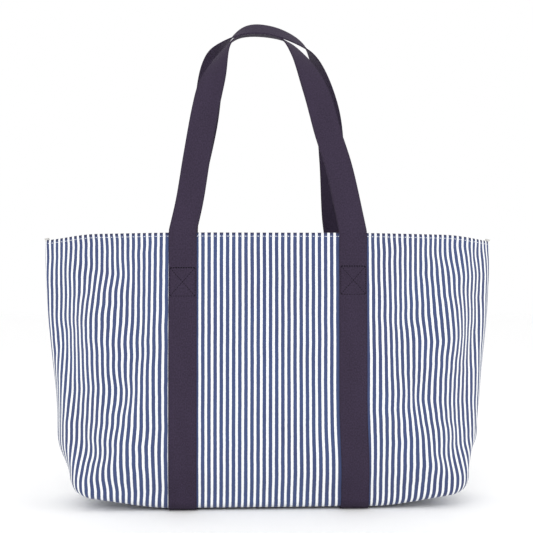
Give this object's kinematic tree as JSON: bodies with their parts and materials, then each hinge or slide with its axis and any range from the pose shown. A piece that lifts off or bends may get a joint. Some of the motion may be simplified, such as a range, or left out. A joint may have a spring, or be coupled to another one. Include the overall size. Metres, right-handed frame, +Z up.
{
  "type": "tote bag",
  "caption": "Large striped canvas tote bag standing open, with two webbing handles that lean together and fold down outside.",
  "frame": {"origin": "centre of the footprint, on the surface that the bag stands on", "axes": "+X across the bag from side seam to side seam, -Y towards the front wall, +Z up"},
  "size_m": [0.6376, 0.1964, 0.6894],
  "materials": {
    "striped_canvas": "woven cotton canvas, navy and white stripes",
    "webbing": "ribbed cotton webbing, dark aubergine",
    "white_thread": "polyester thread",
    "dark_thread": "polyester thread",
    "binding_tape": "woven cotton tape"
  },
  "bodies": {
    "root": {"front_panel": "striped_canvas", "back_panel": "striped_canvas", "base_panel": "striped_canvas", "left_side_binding": "binding_tape", "right_side_binding": "binding_tape", "front_base_binding": "binding_tape", "back_base_binding": "binding_tape", "front_left_strap": "webbing", "front_right_strap": "webbing", "back_left_strap": "webbing", "back_right_strap": "webbing", "left_base_strap": "webbing", "right_base_strap": "webbing", "front_left_stitch_box": "dark_thread", "front_right_stitch_box": "dark_thread", "back_left_stitch_box": "dark_thread", "back_right_stitch_box": "dark_thread", "front_hem_stitching": "white_thread", "back_hem_stitching": "white_thread"},
    "front_handle": {"front_handle": "webbing"},
    "back_handle": {"back_handle": "webbing"}
  },
  "joints": [
    {"name": "front_handle_swing", "type": "hinge", "parent": "root", "child": "front_handle", "pos_m": [0, -0.098, 0.333], "axis": [1, 0, 0], "range_deg": [0, 178]},
    {"name": "back_handle_swing", "type": "hinge", "parent": "root", "child": "back_handle", "pos_m": [0, 0.098, 0.333], "axis": [-1, 0, 0], "range_deg": [0, 178]}
  ]
}
